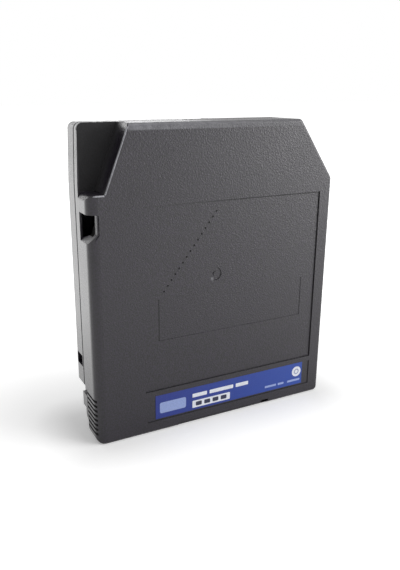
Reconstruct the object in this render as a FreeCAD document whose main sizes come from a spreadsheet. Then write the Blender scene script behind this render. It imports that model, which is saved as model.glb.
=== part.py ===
import FreeCAD, Part
import math
import os
import Sketcher
from FreeCAD import Placement, Rotation, Vector

# Half-inch data tape cartridge with one reel, in millimetres.
# It stands on its label end: X runs across the case, Y from the front face to
# the drive side, Z up to the end that goes into the drive first.
# The origin is the middle of the face that it stands on.

doc = FreeCAD.newDocument("tape_cartridge")
sheet = doc.addObject("Spreadsheet::Sheet", "dims")

SIZES = {
    # case
    "width": 109.0, "depth": 24.5, "height": 125.0, "wall": 2.2, "seam": 2.45,
    "corner_run": 17.2, "corner_drop": 24.5, "taper": 0.8, "taper_start": 103.0,
    "side_wall": 5.6, "shoulder": 37.0, "lip": 1.0, "lip_depth": 1.2, "lip_gap": 0.1,
    "base_round": 3.0, "foot_round": 1.8, "corner_round": 2.0, "notch_round": 0.4,
    "head_round": 2.6, "grip_round": 4.0, "edge_round": 1.2, "back_round": 2.6,
    "seam_bevel": 0.45,
    # insertion notch and side window
    "notch_ledge": 100.2, "notch_low": -48.07, "notch_high": -38.4, "notch_floor": -1.3,
    "notch_wall": 2.1, "ledge_round": 2.4, "window_top": 93.2, "window_low": 86.2, "window_sill": 82.4,
    "window_in": 3.15, "window_back": -2.0, "window_skin": 0.9, "window_land": 0.4,
    "window_line": 0.45, "window_line_deep": 0.5, "window_room_back": 1.9,
    # panels, dimples and label on the front face
    "panel_left": -33.5, "panel_right": 48.7, "panel_low": 18.7, "panel_high": 94.8,
    "panel_deep": 0.5, "frame_left": -27.2, "frame_right": 41.6, "frame_low": 40.2,
    "frame_high": 57.7, "frame_deep": 0.15, "rule_low": 16.4, "tray_low": 4.9,
    "tray_left": -32.8, "tray_deep": 0.3, "label_left": -29.3, "label_right": 45.0,
    "label_low": 5.7, "label_thick": 0.16, "rule_gap": 0.1, "dimples": 15,
    "dimple_size": 0.45, "dimple_deep": 0.25, "dimple_low": 60.7, "dimple_left": -24.9,
    "dimple_high": 90.7, "gate_size": 2.75, "gate_deep": 0.3, "gate_nub": 0.9,
    "base_left": -20.0, "base_right": 26.0, "base_slope": 2.2, "base_high": 1.6,
    "base_deep": 1.0, "eye_left": 23.3, "eye_right": 26.6, "eye_low": 0.3, "eye_high": 1.9,
    "eye_deep": 3.2,
    # grip and gripper cut-outs at both sides
    "grooves": 8, "groove_low": 4.4, "groove_high": 18.75, "groove_tall": 1.0,
    "groove_deep": 1.2, "groove_back": -0.9, "groove_turn": 34.0, "relief_front": -0.7,
    "relief_in": 3.2, "relief_low": 16.2, "relief_high": 20.8, "relief_break": 0.8,
    "pad_low": 8.8, "pad_high": 14.9,
    "pad_proud": 2.1, "pad_front": 3.4, "pad_rear": 8.8, "catch_front": 3.5,
    "catch_low": 28.4, "catch_high": 33.2, "catch_in": 4.4, "catch_back": 10.0, "scoop_middle": -2.5,
    "scoop_size": 10.8, "scoop_deep": 1.5, "scoop_front": 3.9, "scoop_back": 10.6,
    # reel
    "reel_across": -1.8, "reel_up": 64.9, "flange": 48.5, "flange_thick": 1.3,
    "tape": 12.65, "tape_slack": 0.15, "pack": 43.5, "hub": 22.0, "hub_wall": 3.0,
    "web_front": 6.9, "web_rear": 8.2, "ring_high": 9.6, "ring_out": 16.5, "ring_in": 13.4,
    "ring_teeth": 30, "ring_tooth_deep": 1.1, "plate": 9.0, "plate_thick": 0.7,
    "plate_hole": 2.6, "leg_in": 9.5, "leg_out": 12.6, "leg_span": 44.0, "leg_gap": 0.3,
    "leg_short": 0.4, "window_over": 0.5, "window_extra": 4.0, "clutch_hole": 17.6,
    "seat_ring": 18.6, "seat_wide": 2.0, "seat_gap": 0.3, "clutch_bevel": 0.8,
    "spigot": 1.2, "spigot_long": 1.0, "spigot_gap": 0.05, "pack_gap": 0.02,
    "tooth_slope": 0.8, "tooth_part": 0.9,
    # brake and release
    "brake": 18.0, "brake_thick": 1.4, "brake_teeth": 24, "brake_tooth": 1.0,
    "tooth_in": 14.2, "mesh_gap": 0.3, "brake_stroke": 1.9, "sleeve": 7.0,
    "sleeve_end": -3.0, "sleeve_room": 0.2,
    "post": 4.6, "post_gap": 0.08, "post_end": -0.8, "key": 1.6, "key_proud": 1.0,
    "spring_size": 8.6, "spring_gap": 0.05, "spring_wire": 0.9, "spring_turns": 3, "ball": 1.5,
    "ball_gap": 0.05, "spider_thick": 1.1, "spider_arm": 4.4, "spider_gap": 0.5,
    # leader
    "pin_across": 41.7, "pin_up": 104.0, "pin_shaft": 1.25, "pin_head": 2.6,
    "pin_gap": 0.25, "neck_gap": 0.375, "clip_thick": 0.75, "clip_gap": 0.03,
    "clip_opening": 70.0,
    "leader_thick": 0.2, "leader_gap": 0.3, "keeper_thick": 0.7, "keeper_long": 1.8,
    "keeper_gap": 0.08, "keeper_opening": 110.0,
    # door
    "door": 30.0, "door_thick": 1.2, "door_span": 30.0, "door_gap": 0.3,
    "door_travel": 33.0, "track_deep": 0.8, "track_gap": 0.15, "exit_half": 9.2,
    "exit_margin": 3.0, "exit_reach": 20.0, "lug_wide": 3.6, "lug_span": 5.0, "lug_proud": 1.7,
    "slot_gap": 0.4, "door_spring_size": 1.5, "door_spring_wire": 0.45,
    "door_spring_turns": 5, "door_spring_side": 7.0, "door_spring_in": 0.35,
    "shelf_up": 68.0, "shelf_thick": 2.0, "shelf_reach": 3.8, "shelf_wide": 5.0,
    # write protect switch
    "slide_left": 4.0, "slide_long": 17.0, "slide_wide": 7.0, "slide_thick": 1.5,
    "slide_gap": 0.15, "thumb_long": 6.0, "thumb_wide": 3.6, "thumb_sunk": 0.6,
    "slide_travel": 7.5, "slide_middle": -3.0, "rail": 1.2, "thumb_groove_wide": 1.0,
    "thumb_groove_deep": 0.6,
    # memory board
    "board_low_x": 34.0, "board_low_z": 5.5, "board_long": 16.0, "board_wide": 13.0,
    "board_thick": 0.9, "board_gap": 0.05, "holder_thick": 3.2, "holder_high": 3.0,
    "holder_floor": 0.6, "holder_end": 1.0,
    "chip": 4.0, "chip_thick": 0.8,
    # screws and locating holes
    "screw": 1.1, "screw_head": 2.2, "screw_head_deep": 1.4, "screw_sunk": 0.2, "screw_gap": 0.05,
    "recess_long": 2.6, "recess_wide": 0.45, "recess_deep": 0.7,
    "screw_reach": 5.0, "screw_post": 3.0, "screw_side": 45.0, "screw_low": 6.8,
    "screw_high": 117.5, "screw_left_x": -34.0, "screw_right_x": 31.0,
    "datum_side": 45.4, "datum_up": 27.0, "datum": 2.5, "datum_deep": 5.0, "datum_post": 4.2,
    # how far a cut runs past the solid, and how far two fused forms overlap
    "over": 1.0, "bite": 0.2, "skin": 0.01,
}

for row, (word, value) in enumerate(SIZES.items(), start=1):
    sheet.set("A%d" % row, word)
    sheet.set("B%d" % row, str(value))
    sheet.setAlias("B%d" % row, word)
doc.recompute()


def size(words):
    """The number that an expression on the sheet gives."""
    found = sheet.evalExpression(words)
    return float(getattr(found, "Value", found))


def use(words):
    """An expression in which each size is written as a bare word."""
    for word in sorted(SIZES, key=len, reverse=True):
        words = words.replace("$" + word, "dims." + word)
    return words


# ---------------------------------------------------------------- part design

def new_body(name):
    body = doc.addObject("PartDesign::Body", name)
    body.Label = name
    return body


def new_sketch(body, name, plane, level, shapes, middle=None, turn=None):
    """A sketch across a plane: polygons are lists of points, circles are tuples of three."""
    sketch = body.newObject("Sketcher::SketchObject", name)
    roles = {f.Role: f for f in body.Origin.OriginFeatures}
    sketch.AttachmentSupport = (roles[plane + "_Plane"], [""])
    sketch.MapMode = "FlatFace"
    sign = "-" if plane == "XZ" else ""
    sketch.setExpression(".AttachmentOffset.Base.z", use("%s(%s)" % (sign, level)))
    if middle:
        sketch.setExpression(".AttachmentOffset.Base.x", use(middle[0]))
        sketch.setExpression(".AttachmentOffset.Base.y", use(middle[1]))
    if turn:
        sketch.AttachmentOffset = Placement(Vector(), Rotation(Vector(0, 1, 0), 1))
        sketch.setExpression(".AttachmentOffset.Rotation.Angle", use("-(%s)" % turn))
    for shape in shapes:
        if isinstance(shape, tuple):
            add_circle(sketch, shape)
        else:
            add_polygon(sketch, shape)
    doc.recompute()
    return sketch


def pin_down(sketch, edge, point, place):
    """Holds a point of the sketch at two bound distances from its origin."""
    for way, words in zip(("DistanceX", "DistanceY"), place):
        words = use(words)
        held = sketch.addConstraint(Sketcher.Constraint(way, -1, 1, edge, point, size(words)))
        sketch.setExpression("Constraints[%d]" % held, words)


def add_polygon(sketch, points):
    first = sketch.GeometryCount
    spots = [Vector(size(use(x)), size(use(y)), 0) for x, y in points]
    count = len(points)
    for i in range(count):
        sketch.addGeometry(Part.LineSegment(spots[i], spots[(i + 1) % count]), False)
    for i in range(count):
        follows = first + (i + 1) % count
        sketch.addConstraint(Sketcher.Constraint("Coincident", first + i, 2, follows, 1))
    for i in range(count):
        pin_down(sketch, first + i, 1, points[i])


def add_circle(sketch, circle):
    x, y, radius = [use(words) for words in circle]
    place = Vector(size(x), size(y), 0)
    edge = sketch.addGeometry(Part.Circle(place, Vector(0, 0, 1), size(radius)), False)
    pin_down(sketch, edge, 3, (x, y))
    held = sketch.addConstraint(Sketcher.Constraint("Radius", edge, size(radius)))
    sketch.setExpression("Constraints[%d]" % held, radius)


def prism(body, name, plane, shapes, low, high, cut=False):
    """A pad, or a pocket, that fills the sketch between two levels of its plane."""
    starts_high = (plane == "XZ") != cut
    sketch = new_sketch(body, name + "_sketch", plane, high if starts_high else low, shapes)
    kind = "PartDesign::Pocket" if cut else "PartDesign::Pad"
    feature = body.newObject(kind, name)
    feature.Profile = sketch
    feature.setExpression("Length", use("(%s)-(%s)" % (high, low)))
    sketch.Visibility = False
    doc.recompute()
    return feature


def turned(body, name, profile, centre, cut=False, start=None, span=None):
    """A profile of (radius, y) points turned about a line along Y."""
    sketch = new_sketch(body, name + "_sketch", "XY", centre[1], [profile], (centre[0], "0"), start)
    kind = "PartDesign::Groove" if cut else "PartDesign::Revolution"
    feature = body.newObject(kind, name)
    feature.Profile = sketch
    feature.ReferenceAxis = (sketch, ["V_Axis"])
    feature.Angle = 360
    if span:
        feature.setExpression("Angle", use(span))
    doc.recompute()
    return feature


def polar(body, name, features, sketch, count):
    ring = body.newObject("PartDesign::PolarPattern", name)
    ring.Originals = features
    ring.Axis = (sketch, ["V_Axis"])
    ring.Angle = 360
    ring.setExpression("Occurrences", use(count))
    body.Tip = ring
    doc.recompute()
    return ring


def row_of(body, name, feature, direction, length, count):
    row = body.newObject("PartDesign::LinearPattern", name)
    row.Originals = [feature]
    row.Direction = direction
    row.setExpression("Length", use(length))
    row.setExpression("Occurrences", use(count))
    body.Tip = row
    doc.recompute()
    return row


def rounded(body, name, radius, chosen):
    """A fillet on the edges of the body that the test chooses."""
    base = body.Tip
    names = ["Edge%d" % i for i, e in enumerate(base.Shape.Edges, start=1) if chosen(e)]
    feature = body.newObject("PartDesign::Fillet", name)
    feature.Base = (base, names)
    feature.setExpression("Radius", use(radius))
    doc.recompute()
    return feature


def bevelled(body, name, reach, chosen):
    """A bevel on the edges of the body that the test chooses."""
    base = body.Tip
    names = ["Edge%d" % i for i, e in enumerate(base.Shape.Edges, start=1) if chosen(e)]
    feature = body.newObject("PartDesign::Chamfer", name)
    feature.Base = (base, names)
    feature.setExpression("Size", use(reach))
    doc.recompute()
    return feature


def box_of(edge):
    return edge.BoundBox


def near(value, words):
    return abs(value - size(use(words))) < 0.02


def upright_y(x, z):
    """Chooses the straight edge along Y at one place across the case."""
    def chosen(edge):
        box = box_of(edge)
        along = box.YLength > 1 and box.XLength < 0.01 and box.ZLength < 0.01
        return along and near(box.XMin, x) and near(box.ZMin, z)
    return chosen


# ---------------------------------------------------------------------- case

LEFT = "(-$width/2)"
RIGHT = "($width/2)"
FRONT = "(-$depth/2)"
REAR = "($depth/2)"
INNER_FRONT = "(-$depth/2+$wall)"
INNER_REAR = "($depth/2-$wall)"
SLANT = "(($notch_high-$notch_low)/($height-$notch_ledge))"
CORNER = "sqrt($corner_run^2+$corner_drop^2)"
SEAT = "($web_rear+$seat_gap)"
REEL = ("$reel_across", "$reel_up")


def corner_points(inset):
    """Lower and upper end of the slanted corner, at a depth inside the case."""
    low = "$height-$corner_drop-(%s)*(%s-$corner_drop)/$corner_run" % (inset, CORNER)
    high = "$width/2-$corner_run-(%s)*(%s-$corner_run)/$corner_drop" % (inset, CORNER)
    return ("%s-(%s)" % (RIGHT, inset), low), (high, "$height-(%s)" % inset)


def outside():
    low, high = corner_points("0")
    return [(LEFT, "0"), (RIGHT, "0"), low, high,
            (LEFT + "+$taper", "$height"), (LEFT, "$taper_start")]


def inside(grow="0"):
    """Outline of the room inside the case, or of a line that runs outside it."""
    inset = "$wall-(%s)" % grow
    thick = "$side_wall-(%s)" % grow
    step = "$shoulder-(%s)" % grow
    low, high = corner_points(inset)
    return [(LEFT + "+" + thick, inset), (RIGHT + "-(%s)" % thick, inset),
            (RIGHT + "-(%s)" % thick, step), (RIGHT + "-(%s)" % inset, step), low, high,
            (LEFT + "+$taper+" + inset, "$height-(%s)" % inset),
            (LEFT + "+" + inset, "$taper_start"),
            (LEFT + "+" + inset, step), (LEFT + "+" + thick, step)]


def inside_front():
    """The same room in front of the notch floor, where it goes round the notch."""
    room = inside()
    shift = "+$notch_wall-$wall*" + SLANT
    around = [("$notch_high" + shift, "$height-$wall"),
              ("$notch_low" + shift, "$notch_ledge-$wall"),
              (LEFT + "+$wall", "$notch_ledge-$wall")]
    return room[:6] + around + room[8:]


def plate(left, low, right, high):
    return [(left, low), (right, low), (right, high), (left, high)]


def round_case(body):
    """Rounds the outline's corners, which run along Y."""
    low, high = corner_points("0")
    rounded(body, "base_left_round", "$base_round", upright_y(LEFT, "0"))
    rounded(body, "base_right_round", "$foot_round", upright_y(RIGHT, "0"))
    rounded(body, "corner_low_round", "$corner_round", upright_y(*low))
    rounded(body, "corner_high_round", "$corner_round", upright_y(*high))
    rounded(body, "head_round", "$head_round", upright_y(LEFT + "+$taper", "$height"))


def on_seam(edge):
    box = box_of(edge)
    return near(box.YMin, "$seam") and near(box.YMax, "$seam")


def gripper_relief(body, side, low, high):
    """Recess along the lower edge of one side, with a sloping upper end."""
    edge = LEFT if side == "left" else RIGHT
    sign = "+" if side == "left" else "-"
    outer = edge + ("-$over" if side == "left" else "+$over")
    inner = edge + sign + "$relief_in"
    shape = [(outer, "-$over"), (inner, "-$over"), (inner, "$relief_low"),
             (edge + sign + "$relief_break", "$relief_high-$relief_break"),
             (edge, "$relief_high"), (outer, "$relief_high")]
    prism(body, "relief_" + side, "XZ", [shape], low, high, cut=True)


def screw_places():
    return [("-$screw_side", "$screw_low"), ("$screw_side", "$screw_low"),
            ("$screw_left_x", "$screw_high"), ("$screw_right_x", "$screw_high")]


DOOR_MIDDLE_X = "($width/2-$wall-$door_gap-$door)"
DOOR_LINE = "($corner_drop*$width/2+$corner_run*($height-$corner_drop))"
DOOR_REACH = "(%s-($wall+$door_gap+$door)*%s)" % (DOOR_LINE, CORNER)
DOOR_MIDDLE_Z = "((%s-$corner_drop*%s)/$corner_run)" % (DOOR_REACH, DOOR_MIDDLE_X)
DOOR_MIDDLE = (DOOR_MIDDLE_X, DOOR_MIDDLE_Z)
DOOR_ANGLE = "(atan($corner_run/$corner_drop)/1deg)"
DOOR_TOP = "(%s+$door_span/2)" % DOOR_ANGLE


def door_track(body, low, high):
    """Curved guide cut into a shell's inner face for the edge of the door."""
    inner = "$door-$door_thick-$track_gap"
    outer = "$door+$track_gap"
    profile = plate(inner, low, outer, high)
    start = DOOR_TOP + "+$over"
    turned(body, "door_track", profile, DOOR_MIDDLE, True, start, "$door_span+$door_travel+3*$over")


def tape_exit(body, low, high):
    """Mouth in the slanted corner and the slot below it for the door's lug."""
    profile = plate("$door-$door_thick-$over", low, "$door+$exit_reach", high)
    start = DOOR_TOP + "-$exit_margin/2"
    turned(body, "tape_exit", profile, DOOR_MIDDLE, True, start, "$door_span-$exit_margin")


def lug_slot(body, low, high):
    reach = "$door-$door_thick/2"
    profile = plate(reach, low, "$door+$exit_reach", high)
    start = DOOR_TOP + "-$door_span+$lug_span+$over"
    turned(body, "lug_slot", profile, DOOR_MIDDLE, True, start, "$door_travel+$lug_span+2*$over")


# ---------------------------------------------------------------- front shell

def arc_sketch(body, name, level, points, centre, radius, arc_at, plane="XY"):
    """A closed outline of points in which one side is an arc about a centre."""
    sketch = new_sketch(body, name, plane, level, [])
    spots = [Vector(size(use(x)), size(use(y)), 0) for x, y in points]
    middle = Vector(size(use(centre[0])), size(use(centre[1])), 0)
    count = len(points)
    for i in range(count):
        start, end = spots[i], spots[(i + 1) % count]
        if i != arc_at:
            sketch.addGeometry(Part.LineSegment(start, end), False)
            continue
        circle = Part.Circle(middle, Vector(0, 0, 1), size(use(radius)))
        turns = [math.atan2(p.y - middle.y, p.x - middle.x) for p in (start, end)]
        sketch.addGeometry(Part.ArcOfCircle(circle, turns[0], turns[1]), False)
    for i in range(count):
        sketch.addConstraint(Sketcher.Constraint("Coincident", i, 2, (i + 1) % count, 1))
    for i in range(count):
        if i != arc_at + 1:
            pin_down(sketch, i, 1, points[i])
    pin_down(sketch, arc_at, 3, centre)
    doc.recompute()
    return sketch


WRAP = (LEFT + "+$grip_round", FRONT + "+$grip_round")


def wrap_round(body):
    """Large rounding along the front left edge, which the grip ribs follow."""
    points = [(LEFT, WRAP[1]), (WRAP[0], FRONT), (WRAP[0], FRONT + "-$over"),
              (LEFT + "-$over", FRONT + "-$over"), (LEFT + "-$over", WRAP[1])]
    sketch = arc_sketch(body, "wrap_sketch", "$notch_ledge+$over", points, WRAP, "$grip_round", 0)
    feature = body.newObject("PartDesign::Pocket", "wrap")
    feature.Profile = sketch
    feature.setExpression("Length", use("$notch_ledge+2*$over"))
    doc.recompute()


def window_room(body):
    """Thins the wall from inside, beside and below the window, to a skin."""
    skin = LEFT + "+$window_skin"
    inner = LEFT + "+$window_in"
    shape = [(skin, "$window_back"), (inner, INNER_FRONT), (inner, "$window_room_back"),
             (skin, "$window_room_back")]
    prism(body, "window_room", "XY", [shape], "$window_sill-$window_skin",
          "$window_top+$window_skin", cut=True)


def round_ledge_end(body):
    """Rounds the outer end of the notch ledge down to the side of the case."""
    centre = (LEFT + "+$ledge_round", "$notch_ledge-$ledge_round")
    points = [(centre[0], "$notch_ledge"), (LEFT, centre[1]), (LEFT + "-$over", centre[1]),
              (LEFT + "-$over", "$notch_ledge+$over"), (centre[0], "$notch_ledge+$over")]
    sketch = arc_sketch(body, "ledge_end_sketch", FRONT + "-$over", points, centre,
                        "$ledge_round", 0, "XZ")
    feature = body.newObject("PartDesign::Pocket", "ledge_end")
    feature.Profile = sketch
    feature.setExpression("Length", use("$notch_floor-(%s)+$over" % FRONT))
    doc.recompute()


def on_front_face(edge):
    box = box_of(edge)
    return near(box.YMin, FRONT) and near(box.YMax, FRONT)


def at_notch(edge):
    box = box_of(edge)
    level = near(box.ZMin, "$notch_ledge") and near(box.ZMax, "$notch_ledge")
    return level or (near(box.XMin, "$notch_low") and box.ZLength > 5)


def wrapped_edge(edge):
    box = box_of(edge)
    return near(box.XMax, WRAP[0]) and box.ZLength > 5


def grip_grooves(body, side):
    """One groove between grip ribs, repeated up the side."""
    low = "$groove_low-$groove_tall/2"
    high = "$groove_low+$groove_tall/2"
    back = "$groove_back"
    if side == "left":
        floor = LEFT + "+$groove_deep"
        out = LEFT + "-$over"
        turn = "$groove_turn*1deg"
        run = "($grip_round-$groove_deep)"
        end = (WRAP[0] + "-%s*cos(%s)" % (run, turn), WRAP[1] + "-%s*sin(%s)" % (run, turn))
        far = (WRAP[0] + "-($grip_round+2)*cos(%s)" % turn,
               WRAP[1] + "-($grip_round+2)*sin(%s)" % turn)
        points = [(floor, WRAP[1]), end, far, (out, far[1]), (out, back), (floor, back)]
        sketch = arc_sketch(body, "groove_left_sketch", high, points, WRAP, run, 0)
        groove = body.newObject("PartDesign::Pocket", "groove_left")
        groove.Profile = sketch
        groove.setExpression("Length", use("$groove_tall"))
        doc.recompute()
    else:
        edge = FRONT + "+$edge_round"
        shape = plate(RIGHT + "-$groove_deep", edge, RIGHT + "+$over", back)
        groove = prism(body, "groove_right", "XY", [shape], low, high, cut=True)
        sketch = groove.Profile[0]
    upward = (sketch, ["N_Axis"])
    row_of(body, "grooves_" + side, groove, upward, "$groove_high-$groove_low", "$grooves")


def dimple_row(body):
    """A straight row of small moulding dimples across the panel."""
    floor = FRONT + "+$panel_deep"
    first = ("$dimple_left", "$dimple_low")
    last = ("$reel_across", "$dimple_high")
    cone = [("0", floor + "-$over"), ("$dimple_size", floor + "-$over"), ("$dimple_size", floor),
            ("0", floor + "+$dimple_deep")]
    dimple = turned(body, "dimple", cone, first, cut=True)
    line = new_sketch(body, "dimple_line", "XZ", floor, [])
    ends = [Vector(size(use(x)), size(use(z)), 0) for x, z in (first, last)]
    line.addGeometry(Part.LineSegment(*ends), False)
    pin_down(line, 0, 1, first)
    pin_down(line, 0, 2, last)
    length = "sqrt(($reel_across-$dimple_left)^2+($dimple_high-$dimple_low)^2)"
    row_of(body, "dimple_row", dimple, (line, ["Edge1"]), length, "$dimples")


def slide_rails(body):
    """Two hooked rails on the floor that hold the write protect slide down."""
    top = "$wall+2*$slide_gap+$slide_thick"
    start = "$slide_left-$over"
    end = "$slide_left+$slide_long+$slide_travel+$over"
    half = "($slide_wide/2+$slide_gap)"
    for name, sign in (("front", "-"), ("rear", "+")):
        face = "$slide_middle%s%s" % (sign, half)
        back = face + sign + "$rail"
        hook = face + ("+" if sign == "-" else "-") + "$rail"
        shape = [(back, "$wall"), (face, "$wall"), (face, top), (hook, top),
                 (hook, top + "+$rail"), (back, top + "+$rail")]
        prism(body, "rail_" + name, "YZ", [shape], start, end)


THUMB_LEFT = "($slide_left+($slide_long-$thumb_long)/2)"
HALF_ROOT = "sqrt(0.5)"


def slanted(start, end, low, high):
    """A plate at 45 degrees: its stretch along the board and its span across it."""
    def place(along, across):
        x = "$board_low_x+((%s)+(%s))*%s" % (along, across, HALF_ROOT)
        z = "$board_low_z+((%s)-(%s))*%s" % (along, across, HALF_ROOT)
        return x, z
    return [place(start, low), place(end, low), place(end, high), place(start, high)]


HOLDER_FLOOR = INNER_FRONT + "+$holder_floor"


front = new_body("front_shell")
prism(front, "block", "XZ", [outside()], FRONT, "$seam")
round_case(front)
wrap_round(front)
bevelled(front, "seam_bevel_front", "$seam_bevel", on_seam)
notch = [(LEFT + "-$over", "$notch_ledge"), ("$notch_low", "$notch_ledge"),
         ("$notch_high+$over*" + SLANT, "$height+$over"), (LEFT + "-$over", "$height+$over")]
prism(front, "notch", "XZ", [notch], FRONT + "-$over", "$notch_floor", cut=True)
rounded(front, "face_edges", "$edge_round",
        lambda edge: on_front_face(edge) and not at_notch(edge) and not wrapped_edge(edge))
rounded(front, "notch_edges", "$notch_round", lambda e: on_front_face(e) and at_notch(e))
round_ledge_end(front)

prism(front, "room_front", "XZ", [inside_front()], INNER_FRONT, "$notch_floor+$notch_wall", cut=True)
prism(front, "room", "XZ", [inside()], "$notch_floor+$notch_wall", "$seam", cut=True)
prism(front, "lip", "XZ", [inside("$lip"), inside()], "$seam", "$seam+$lip_depth")

window = [(LEFT + "-$over", "$window_top"), (LEFT + "-$over", "$window_sill"), (LEFT, "$window_sill"),
          (LEFT + "+$window_in", "$window_low"), (LEFT + "+$window_in", "$window_top")]
prism(front, "side_window", "XZ", [window], FRONT + "-$over", "$window_back", cut=True)
window_room(front)
line_in = LEFT + "+$window_in+$window_land"
line_low = "$window_low-$window_land/2"
line_end = LEFT + "+$window_skin"
line_foot = "$window_sill-$window_land/2"
line = [(line_in, "$window_top"), (line_in, line_low), (line_end, line_foot),
        (line_end, line_foot + "-$window_line"),
        (line_in + "+$window_line", line_low + "-$window_line/2"),
        (line_in + "+$window_line", "$window_top")]
prism(front, "window_line", "XZ", [line], FRONT + "-$over", FRONT + "+$window_line_deep", cut=True)
prism(front, "panel", "XZ", [plate("$panel_left", "$panel_low", "$panel_right", "$panel_high")],
      FRONT, FRONT + "+$panel_deep", cut=True)
prism(front, "panel_frame", "XZ",
      [plate("$frame_left", "$frame_low", "$frame_right", "$frame_high")],
      FRONT + "+$panel_deep", FRONT + "+$panel_deep+$frame_deep", cut=True)
prism(front, "label_tray", "XZ", [plate("$tray_left", "$tray_low", "$panel_right", "$rule_low")],
      FRONT, FRONT + "+$tray_deep", cut=True)
dimple_row(front)
prism(front, "gate", "XZ", [REEL + ("$gate_size",), REEL + ("$gate_nub",)],
      FRONT + "+$panel_deep", FRONT + "+$panel_deep+$gate_deep", cut=True)
base = [("$base_left", "-$over"), ("$base_right", "-$over"), ("$base_right", "$base_high"),
        ("$base_left+$base_slope", "$base_high")]
prism(front, "base_recess", "XZ", [base], FRONT, FRONT + "+$base_deep", cut=True)
prism(front, "switch_eye", "XZ", [plate("$eye_left", "$eye_low", "$eye_right", "$eye_high")],
      FRONT, FRONT + "+$eye_deep", cut=True)
grip_grooves(front, "left")
grip_grooves(front, "right")
gripper_relief(front, "left", "$relief_front", "$seam")
gripper_relief(front, "right", "$relief_front", "$seam")

prism(front, "brake_post", "XZ", [REEL + ("$post",)], INNER_FRONT, "$post_end")
key_half = "$key/2"
key_reach = "($post+$key_proud)"
prism(front, "post_key", "XZ",
      [plate("$reel_across-" + key_half, "$reel_up-" + key_reach,
             "$reel_across+" + key_half, "$reel_up+" + key_reach)], INNER_FRONT, "$post_end")
posts = [place + ("$screw_post",) for place in screw_places()]
prism(front, "screw_posts", "XZ", posts, INNER_FRONT, "$seam")
pilots = [place + ("$screw+$screw_gap",) for place in screw_places()]
prism(front, "screw_pilots", "XZ", pilots, "$seam-$screw_reach-$over", "$seam", cut=True)
slide_rails(front)
slot_half = "($thumb_wide/2+$slide_gap)"
prism(front, "slide_slot", "XY",
      [plate(THUMB_LEFT + "-$slide_gap", "$slide_middle-" + slot_half,
             THUMB_LEFT + "+$thumb_long+$slide_travel+$slide_gap", "$slide_middle+" + slot_half)],
      "-$over", "$wall", cut=True)
prism(front, "board_holder", "XZ",
      [slanted("-$holder_end", "$board_long+$holder_end", "-$holder_thick/2", "$holder_thick/2")],
      INNER_FRONT, INNER_FRONT + "+$holder_high")
board_half = "$board_thick/2+$board_gap"
prism(front, "board_slot", "XZ",
      [slanted("-$board_gap", "$board_long+$board_gap", "-(%s)" % board_half, board_half)],
      HOLDER_FLOOR, INNER_FRONT + "+$holder_high+$over", cut=True)
door_track(front, INNER_FRONT + "-$track_deep", INNER_FRONT + "+$over")
tape_exit(front, "-$exit_half", "$exit_half")
lug_slot(front, "-$lug_wide/2-$slot_gap", "$lug_wide/2+$slot_gap")

# ----------------------------------------------------------------- rear shell

rear = new_body("rear_shell")
prism(rear, "rear_block", "XZ", [outside()], "$seam", REAR)
round_case(rear)
bevelled(rear, "seam_bevel_rear", "$seam_bevel", on_seam)
rounded(rear, "back_edges", "$back_round",
        lambda edge: near(box_of(edge).YMin, REAR) and near(box_of(edge).YMax, REAR))
gripper_relief(rear, "left", "$seam", REAR + "+$over")
gripper_relief(rear, "right", "$seam", REAR + "+$over")
for side, edge, sign, out in (("left", LEFT, "+", "-$over"), ("right", RIGHT, "-", "+$over")):
    prism(rear, "catch_" + side, "XZ",
          [plate(edge + out, "$catch_low", edge + sign + "$catch_in", "$catch_high")],
          "$catch_front", "$catch_back", cut=True)
    prism(rear, "pad_" + side, "XZ",
          [plate(edge + sign + "($relief_in-$pad_proud)", "$pad_low",
                 edge + sign + "$relief_in", "$pad_high")], "$pad_front", "$pad_rear")
scoop = ("$scoop_middle", "$height+$scoop_size-$scoop_deep", "$scoop_size")
prism(rear, "scoop", "XZ", [scoop], "$scoop_front", "$scoop_back", cut=True)
prism(rear, "rear_room", "XZ", [inside()], "$seam", INNER_REAR, cut=True)
prism(rear, "lip_rebate", "XZ", [inside("$lip+$lip_gap")], "$seam", "$seam+$lip_depth+$lip_gap",
      cut=True)
seat_out = "$seat_ring+$seat_wide"
prism(rear, "reel_seat", "XZ", [REEL + (seat_out,), REEL + ("$seat_ring",)], SEAT, INNER_REAR)
prism(rear, "clutch_hole", "XZ", [REEL + ("$clutch_hole",)], INNER_REAR, REAR + "+$over", cut=True)
turned(rear, "clutch_bevel", [("$clutch_hole", REAR + "-$clutch_bevel"),
                              ("$clutch_hole+$clutch_bevel+$over", REAR + "+$over"),
                              ("$clutch_hole", REAR + "+$over")], REEL, cut=True)
bosses = [place + ("$screw_post",) for place in screw_places()]
prism(rear, "screw_bosses", "XZ", bosses, "$seam", INNER_REAR)
holes = [place + ("$screw+$screw_gap",) for place in screw_places()]
prism(rear, "screw_holes", "XZ", holes, "$seam", REAR + "+$over", cut=True)
sinks = [place + ("$screw_head+$screw_gap",) for place in screw_places()]
prism(rear, "screw_sinks", "XZ", sinks, REAR + "-$screw_head_deep-$screw_sunk", REAR + "+$over", cut=True)
datums = [("-$datum_side", "$datum_up"), ("$datum_side", "$datum_up")]
prism(rear, "datum_bosses", "XZ", [place + ("$datum_post",) for place in datums],
      REAR + "-$datum_deep-$wall", INNER_REAR)
prism(rear, "datum_holes", "XZ", [place + ("$datum",) for place in datums],
      REAR + "-$datum_deep", REAR + "+$over", cut=True)
prism(rear, "spring_shelf", "XZ",
      [plate(RIGHT + "-$wall-$shelf_reach", "$shelf_up", RIGHT + "-$wall", "$shelf_up+$shelf_thick")],
      "$door_spring_side-$shelf_wide/2", INNER_REAR)
door_track(rear, INNER_REAR + "-$over", INNER_REAR + "+$track_deep")
tape_exit(rear, "-$exit_half", "$exit_half")

# ---------------------------------------------------------------------- label

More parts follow.
